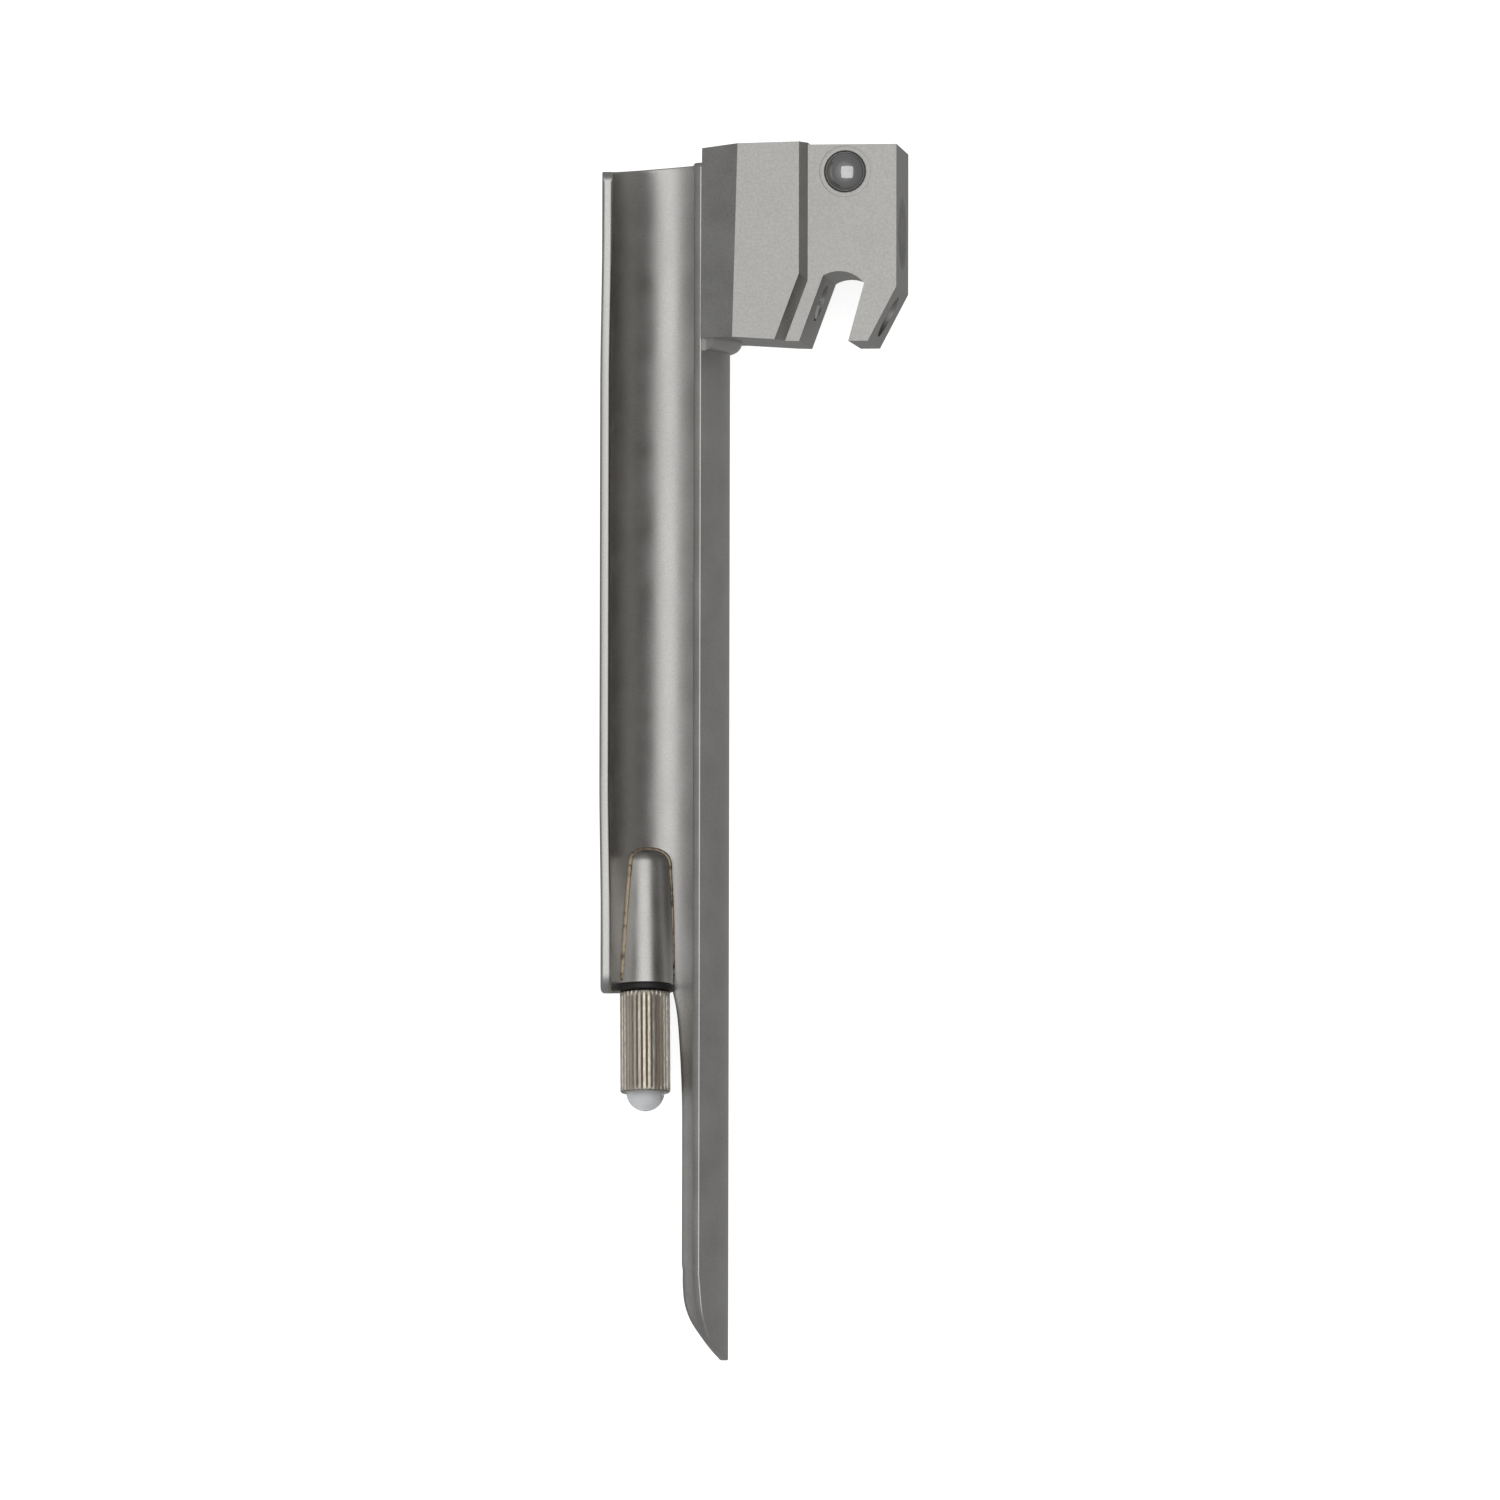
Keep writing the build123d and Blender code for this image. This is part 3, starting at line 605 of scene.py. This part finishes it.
def make_blade():
    """The formed sheet: a fine mesh of both faces, and a rounded rim all the way round."""
    rim = 0.45
    outline, edges = blade_outline()
    inner = inset(outline, rim)
    squeeze = 0.4                            # rows are wider apart along the blade than across it
    flat = [Vector((p.x, p.y * squeeze)) for p in inner]
    across, along = 0.36, 0.9
    keep_off = inset(outline, rim + 0.26)
    s = lip_s(-30)
    while s < RIDGE_S:
        y = -114.0
        while y < 15:
            if inside(Vector((s, y)), keep_off):
                flat.append(Vector((s, y * squeeze)))
            y += along
        s += across
    count = len(inner)
    points, _, triangles, _, _, _ = delaunay_2d_cdt(flat, [], [list(range(count))], 1, 1e-5)

    half = SHEET / 2
    vertices, faces = [], []
    total = len(points)
    for side in (1, -1):
        for p in points:
            place, normal = sheet_point(p.x, p.y / squeeze)
            vertices.append(place + normal * half * side)
    for triangle in triangles:
        a, b, c = triangle
        faces.append((a, b, c))
        faces.append((c + total, b + total, a + total))

    arc_steps = 4
    rows = []
    for i in range(count):
        place, normal = sheet_point(inner[i].x, inner[i].y)
        shift = outline[i] - inner[i]
        tangent_s = normal.cross(Vector((0, 1, 0)))
        if (sheet_point(inner[i].x + 0.01, inner[i].y)[0] - place).dot(tangent_s) < 0:
            tangent_s = -tangent_s
        outward = tangent_s * shift.x + Vector((0, 1, 0)) * shift.y
        reach = outward.length
        outward = outward.normalized()
        outer_edge, inner_edge = edges[i]
        row = [i]
        for side, edge in ((1, outer_edge), (-1, inner_edge)):
            corner = []
            for k in range(arc_steps + 1):
                turn = math.pi / 2 * k / arc_steps
                corner.append(place + outward * (reach - edge + edge * math.sin(turn))
                              + normal * side * (half - edge + edge * math.cos(turn)))
            if side < 0:
                corner.reverse()
            for spot in corner:
                row.append(len(vertices))
                vertices.append(spot)
        row.append(i + total)
        rows.append(row)
    for i in range(count):
        this, following = rows[i], rows[(i + 1) % count]
        for k in range(len(this) - 1):
            faces.append((this[k], this[k + 1], following[k + 1], following[k]))
    blade = mesh_object("blade_sheet", vertices, faces, sharp=60)
    # painted warm reflection and shade: a brown line on the channel's inner wall, just under the flange's
    # free edge
    brown_amount = blade.data.attributes.new("brown_amount", "FLOAT", "POINT")
    for vertex, slot in zip(blade.data.vertices, brown_amount.data):
        spot = vertex.co / MM
        inner_x = CHANNEL_X - CHANNEL_R + math.sin(tuck(spot.y)) * spot.z
        on_wall = abs(spot.x - inner_x) < 0.13
        by_edge = abs(spot.z - LIP_Z) < 0.45 and FLANGE_END_Y + 0.5 < spot.y < 12
        slot.value = 0.8 if on_wall and by_edge else 0.0
    stands_for(blade, "blade", SHEET_STEEL, "frame")


make_blade()


# ---- lamp housing and its braze seam ------------------------------------------------------
def make_housing():
    """The socket body: a cylinder rounded at its inner end, bored for the socket and for the tube."""
    nose_steps, body_steps = 12, 8
    lead_hole_r = 0.6
    nose = []
    for k in range(1, nose_steps + 1):
        turn = math.pi / 2 * k / nose_steps
        nose.append((HOUSING_R - HOUSING_NOSE + HOUSING_NOSE * math.sin(turn),
                     -HOUSING_LONG + HOUSING_NOSE * (1 - math.cos(turn))))
    body = [(HOUSING_R, (HOUSING_NOSE - HOUSING_LONG) * (1 - k / body_steps))
            for k in range(1, body_steps - 1)]
    mouth = soften([(HOUSING_R, -1.0), (HOUSING_R, 0.0), (SOCKET_R, 0.0), (SOCKET_R, -SOCKET_DEEP)], 0.12,
                   closed=False)
    back = [(lead_hole_r, -SOCKET_DEEP), (lead_hole_r, -TUBE_IN), (TUBE_R, -TUBE_IN)]
    profile = [(TUBE_R, -HOUSING_LONG)] + nose + body + mouth + back
    housing = turned_piece("housing_body", profile, LAMP_FRAME, around=128)
    stands_for(housing, "lamp_housing", SHEET_STEEL, "frame")


def swept_bead(points, radius_at, around=10, flat=1.0):
    """A closed bead along a line of points, flattened from above if asked."""
    vertices, faces = [], []
    count = len(points)
    for i, point in enumerate(points):
        ahead = (points[min(i + 1, count - 1)] - points[max(i - 1, 0)]).normalized()
        side = ahead.cross(Vector((0, 0, 1))).normalized()
        over = side.cross(ahead)
        taper = math.sqrt(max(0.02, 1 - (2 * i / (count - 1) - 1) ** 24))
        for k in range(around):
            angle = math.tau * k / around
            reach = radius_at(point) * taper
            vertices.append(point + (side * math.cos(angle) + over * math.sin(angle) * flat) * reach)
    for i in range(count - 1):
        for k in range(around):
            nxt = (k + 1) % around
            faces.append((i * around + k, i * around + nxt, (i + 1) * around + nxt, (i + 1) * around + k))
    faces.append(tuple(range(around)))
    faces.append(tuple((count - 1) * around + k for k in reversed(range(around))))
    return vertices, faces


def make_seam():
    """The filler that shows between housing and channel, inside and outside."""
    def radius_at(point):
        """Uneven, and thicker on the side away from the handle."""
        lean_in = 0.5 - 0.5 * max(-1, min(1, (point - SEAT).dot(ACROSS) / 2.2))
        grain = 1 + 0.16 * noise.noise(point * 0.9) + 0.1 * noise.noise(point * 4.0)
        return (0.2 + 0.17 * lean_in) * grain

    vertices, faces = [], []
    for channel_radius in (CHANNEL_R, OUTER_R):
        line = evenly(housing_seam(channel_radius, HOUSING_R + 0.02, HOUSING_NOSE, steps=150), 0.2)
        more, sides = swept_bead(line, radius_at, flat=0.6)
        faces += [tuple(v + len(vertices) for v in side) for side in sides]
        vertices += more
    seam = mesh_object("housing_seam", vertices, faces, sharp=80)
    stands_for(seam, "housing_braze", BRAZE, "frame")


make_housing()
make_seam()


# ---- lamp -------------------------------------------------------------------------------
# heights are along the way out, from the housing's mouth
WASHER = (0.015, 0.665)                      # its two faces
WASHER_R = 3.15
WASHER_HOLE_R = 1.95
SHOULDER = 0.68                              # back of the knurled grip, just clear of the washer
SHELL_R = 2.7
SHELL_LONG = 11.0
SHELL_END = SHOULDER + SHELL_LONG
BACK_EDGE = 0.2                              # corners of the grip
FRONT_EDGE = 0.15
LAMP_BORE_R = 1.35
THREAD_R = 1.9
THREAD_LONG = 5.0
THREAD_DEEP = 0.3
FLUTES = 32
FLUTE_DEEP = 0.2
GLASS_R = 2.05
GLASS_WALL = 0.4
GLASS_FOOT = 7.0                             # where the glass starts, inside the grip
GLASS_OUT = 2.0                              # how far it stands out
FILAMENT_H = 11.15


def groove_depth(angle):
    """0 on a ridge of the knurl, 1 in a groove."""
    phase = (angle * FLUTES / math.tau) % 1.0
    return max(0.0, math.cos(math.tau * phase)) ** 0.8


def shell_radius(r, h, angle):
    """Radius of the lamp's body there: fluted on the grip, with the thread's relief on the foot."""
    if SHOULDER + BACK_EDGE < h < SHELL_END - 0.05 and r > SHELL_R - 0.5:
        fade = min(1, (h - SHOULDER - BACK_EDGE) / 0.3, (SHELL_END - 0.05 - h) / 0.3)
        wear = 0.02 * noise.noise(Vector((math.cos(angle) * 9, math.sin(angle) * 9, h * 1.6)))
        return r - FLUTE_DEEP * groove_depth(angle) * fade + wear
    if -THREAD_LONG + 0.3 < h < -0.1 and r > 1.5:
        phase = (h / PITCH - angle / math.tau) % 1.0
        crest = min(1, (h + THREAD_LONG - 0.3) / 0.5, (-0.1 - h) / 0.4)
        return r - THREAD_DEEP * (1 - abs(2 * phase - 1)) * crest
    return r


def make_shell():
    """The lamp's metal body: threaded foot, fluted grip and the bore that holds the glass."""
    thread_rows, grip_rows = 60, 40
    neck = [(THREAD_R - 0.25, -THREAD_LONG), (THREAD_R, -THREAD_LONG + 0.25)]
    neck += [(THREAD_R, -THREAD_LONG + 0.3 + (THREAD_LONG - 0.4) * k / thread_rows)
             for k in range(thread_rows + 1)]
    neck += [(THREAD_R, SHOULDER), (SHELL_R - 0.22, SHOULDER), (SHELL_R, SHOULDER + BACK_EDGE)]
    grip_long = SHELL_LONG - BACK_EDGE - FRONT_EDGE
    grip = [(SHELL_R, SHOULDER + BACK_EDGE + grip_long * k / grip_rows) for k in range(1, grip_rows + 1)]
    front = soften([(SHELL_R, SHELL_END - FRONT_EDGE), (SHELL_R - FRONT_EDGE, SHELL_END),
                    (GLASS_R, SHELL_END), (GLASS_R, GLASS_FOOT), (LAMP_BORE_R, GLASS_FOOT),
                    (LAMP_BORE_R, -THREAD_LONG)], 0.06, closed=False)
    shell = turned_piece("lamp_body", neck + grip + front, LAMP_FRAME, around=FLUTES * 8, sharp=50,
                         radius_at=shell_radius)
    depth = shell.data.attributes.new("groove", "FLOAT", "POINT")
    inverse = LAMP_FRAME.inverted()
    for vertex, slot in zip(shell.data.vertices, depth.data):
        local = inverse @ (vertex.co / MM)
        reach = math.hypot(local.x, local.y)
        on_grip = SHOULDER < local.z < SHELL_END and reach > SHELL_R - 0.5
        slot.value = min(1.0, (SHELL_R - reach) / FLUTE_DEEP) if on_grip else 0.2
    stands_for(shell, "lamp_shell", NICKEL, "lamp")


def make_glass():
    """A thin-walled tube with a round end, open inside the grip."""
    reach = SHELL_END + GLASS_OUT
    inner_r = GLASS_R - GLASS_WALL
    dome_steps = 12
    outer, inner = [], []
    for k in range(dome_steps):
        turn = math.pi / 2 * k / dome_steps
        outer.append((GLASS_R * math.cos(turn), reach - GLASS_R + GLASS_R * math.sin(turn)))
        inner.append((inner_r * math.cos(turn), reach - GLASS_R + inner_r * math.sin(turn)))
    profile = [(GLASS_R, GLASS_FOOT)] + outer + [(0.0, reach)]
    profile += [(0.0, reach - GLASS_WALL)] + inner[::-1] + [(inner_r, GLASS_FOOT)]
    glass = turned_piece("lamp_dome", profile, LAMP_FRAME, around=64)
    stands_for(glass, "lamp_glass", GLASS, "lamp")


def make_washer():
    """The rubber ring between housing and grip."""
    profile = soften([(WASHER_HOLE_R, WASHER[0]), (WASHER_R, WASHER[0]), (WASHER_R, WASHER[1]),
                      (WASHER_HOLE_R, WASHER[1])], 0.2)
    washer = turned_piece("seal_washer", profile, LAMP_FRAME)
    stands_for(washer, "lamp_washer", RUBBER, "washer")


def make_filament():
    """A fine coil between the two leads, with straight tails."""
    turns, per_turn = 7, 16
    coil_r, coil_long, wire_r, tail_x = 0.13, 0.72, 0.025, 0.5
    steps = turns * per_turn
    line = [Vector((-tail_x, 0, FILAMENT_H))]
    for k in range(steps + 1):
        angle = math.tau * k / per_turn
        line.append(Vector((-coil_long / 2 + coil_long * k / steps, coil_r * math.sin(angle),
                            FILAMENT_H - coil_r * math.cos(angle))))
    line.append(Vector((tail_x, 0, FILAMENT_H)))
    line = [LAMP_FRAME @ p for p in line]
    vertices, faces = swept_bead(line, lambda point: wire_r, around=6)
    filament = mesh_object("filament_coil", vertices, faces, sharp=60)
    stands_for(filament, "lamp_filament", TUNGSTEN, "lamp")


make_shell()
make_glass()
make_washer()
make_filament()


# ---- latch and contact --------------------------------------------------------------------
def latch_frame(side):
    """The latch bore's axis: out of the near cheek for side 1, out of the far cheek for -1."""
    low, high = span("detent_ball_near")
    frame_matrix = Matrix.Rotation(0 if side > 0 else math.pi, 4, "X")
    frame_matrix.translation = Vector(((low.x + high.x) / 2, (low.y + high.y) / 2, 0))
    return frame_matrix


ball_low, ball_high = span("detent_ball_near")
BALL_R = (ball_high.x - ball_low.x) / 2
BALL_Z = (ball_high.z + ball_low.z) / 2
sleeve_low, sleeve_high = span("detent_sleeve_near")
SLEEVE_R = (sleeve_high.x - sleeve_low.x) / 2
SLEEVE_IN_Z = sleeve_low.z
CHEEK_Z = sleeve_high.z
SLEEVE_BORE_R = 2.42
SLEEVE_MOUTH_R = 2.27
SLEEVE_LIP_R = 2.17                          # narrowest, where it holds the ball in
LIP_TOP = 0.12                               # the lip's upper and lower end, below the cheek's face
LIP_FOOT = 0.57


def make_latch(side, word):
    """A latch ball and the staked ring round it."""
    matrix = latch_frame(side)
    ball_steps = 48
    profile = [(0.0, BALL_Z - BALL_R)]
    for k in range(1, ball_steps):
        angle = math.pi * k / ball_steps
        profile.append((BALL_R * math.sin(angle), BALL_Z - BALL_R * math.cos(angle)))
    profile.append((0.0, BALL_Z + BALL_R))
    ball = turned_piece("latch_ball_" + word, profile, matrix, closed=False)
    stands_for(ball, "detent_ball_" + word, BALL_STEEL, "ball_" + word)
    ring = soften([(SLEEVE_BORE_R, SLEEVE_IN_Z), (SLEEVE_R, SLEEVE_IN_Z), (SLEEVE_R, CHEEK_Z),
                   (SLEEVE_MOUTH_R, CHEEK_Z), (SLEEVE_LIP_R, CHEEK_Z - LIP_TOP),
                   (SLEEVE_BORE_R, CHEEK_Z - LIP_FOOT)], 0.05)
    sleeve = turned_piece("latch_sleeve_" + word, ring, matrix)
    stands_for(sleeve, "detent_sleeve_" + word, BLOCK_STEEL, "frame")


make_latch(1, "near")
make_latch(-1, "far")


def make_button():
    """The electrical contact: a short stud with a low crown, along the row's X."""
    low, high = span("contact_button")
    radius = (high.y - low.y) / 2
    long = high.x - low.x
    foot = Matrix.Translation(Vector((low.x, (low.y + high.y) / 2, 0)))
    matrix = foot @ Matrix.Rotation(math.pi / 2, 4, "Y")
    crown_high, crown_steps, foot_edge = 0.6, 8, 0.1
    crown = []
    for k in range(crown_steps + 1):
        angle = math.pi / 2 * k / crown_steps
        crown.append((radius * math.cos(angle), long - crown_high + crown_high * math.sin(angle)))
    profile = [(0.0, 0.0), (radius - foot_edge, 0.0), (radius, foot_edge)] + crown
    button = turned_piece("contact_stud", profile, matrix, around=64, closed=False)
    stands_for(button, "contact_button", PLATED, "frame")


make_button()


# ---- block: crisp CAD faces with their edges just broken ------------------------------------
edge_break = frame["nodes"]["fitting_block"].modifiers.new("edge_break", "BEVEL")
edge_break.width = 0.13 * MM
edge_break.segments = 2
edge_break.limit_method = "ANGLE"
edge_break.angle_limit = math.radians(24)


# ---- floor and light ------------------------------------------------------------------------
def make_floor():
    """A white floor just under the part, which its reflections don't show."""
    mesh = bpy.data.meshes.new("floor")
    reach, gap = 3.0, 0.0002                 # in metres
    level = cad_bounds[0][2] - gap
    mesh.from_pydata([(-reach, -reach, level), (reach, -reach, level), (reach, reach, level),
                      (-reach, reach, level)], [], [(0, 1, 2, 3)])
    floor = bpy.data.objects.new("floor", mesh)
    bpy.context.scene.collection.objects.link(floor)
    material, tree, shader = new_material("floor")
    shader.inputs["Base Color"].default_value = (0.9, 0.9, 0.9, 1)
    shader.inputs["Roughness"].default_value = 1.0
    shader.inputs["Specular IOR Level"].default_value = 0.0
    shader.inputs["Emission Color"].default_value = (1, 1, 1, 1)
    shader.inputs["Emission Strength"].default_value = 0.75
    mesh.materials.append(material)
    floor.visible_glossy = False


def area_light(name, place, target, size, power):
    """A square light turned to its target, in metres and watts. The camera doesn't see it."""
    data = bpy.data.lights.new(name, "AREA")
    data.shape = "SQUARE"
    data.size = size
    data.energy = power
    light = bpy.data.objects.new(name, data)
    light.location = place
    light.rotation_euler = (Vector(place) - Vector(target)).to_track_quat("Z", "Y").to_euler()
    light.visible_camera = False
    bpy.context.scene.collection.objects.link(light)


def make_world():
    """Pale to the eye, but a dim room in reflections: lightest overhead, darkest at the horizon."""
    world = bpy.data.worlds.new("studio")
    bpy.context.scene.world = world
    world.use_nodes = True
    tree = world.node_tree
    back = tree.nodes["Background"]
    place = tree.nodes.new("ShaderNodeTexCoord")
    split = tree.nodes.new("ShaderNodeSeparateXYZ")
    tree.links.new(place.outputs["Generated"], split.inputs[0])
    ramp = tree.nodes.new("ShaderNodeValToRGB")
    ramp.color_ramp.elements[0].position = 0.0
    ramp.color_ramp.elements[0].color = (0.32, 0.32, 0.32, 1)
    ramp.color_ramp.elements[1].position = 1.0
    ramp.color_ramp.elements[1].color = (0.55, 0.55, 0.55, 1)
    for position, level in ((0.3, 0.3), (0.5, 0.26), (0.75, 0.3)):
        stop = ramp.color_ramp.elements.new(position)
        stop.color = (level, level, level, 1)
    height = tree.nodes.new("ShaderNodeMapRange")
    height.inputs["From Min"].default_value = -1.0
    tree.links.new(split.outputs["Z"], height.inputs["Value"])
    tree.links.new(height.outputs["Result"], ramp.inputs["Fac"])
    path = tree.nodes.new("ShaderNodeLightPath")
    seen = tree.nodes.new("ShaderNodeMix")
    seen.data_type = "RGBA"
    seen.inputs["B"].default_value = (0.93, 0.93, 0.93, 1)
    tree.links.new(path.outputs["Is Camera Ray"], seen.inputs["Factor"])
    tree.links.new(ramp.outputs["Color"], seen.inputs["A"])
    tree.links.new(seen.outputs["Result"], back.inputs["Color"])


make_floor()
make_world()
centre = Vector((-0.012, -0.045, 0.0))
area_light("overhead", centre + Vector((0.14, 0.0, 0.62)), centre, size=0.78, power=1.68)
bpy.context.scene.view_settings.view_transform = "Standard"
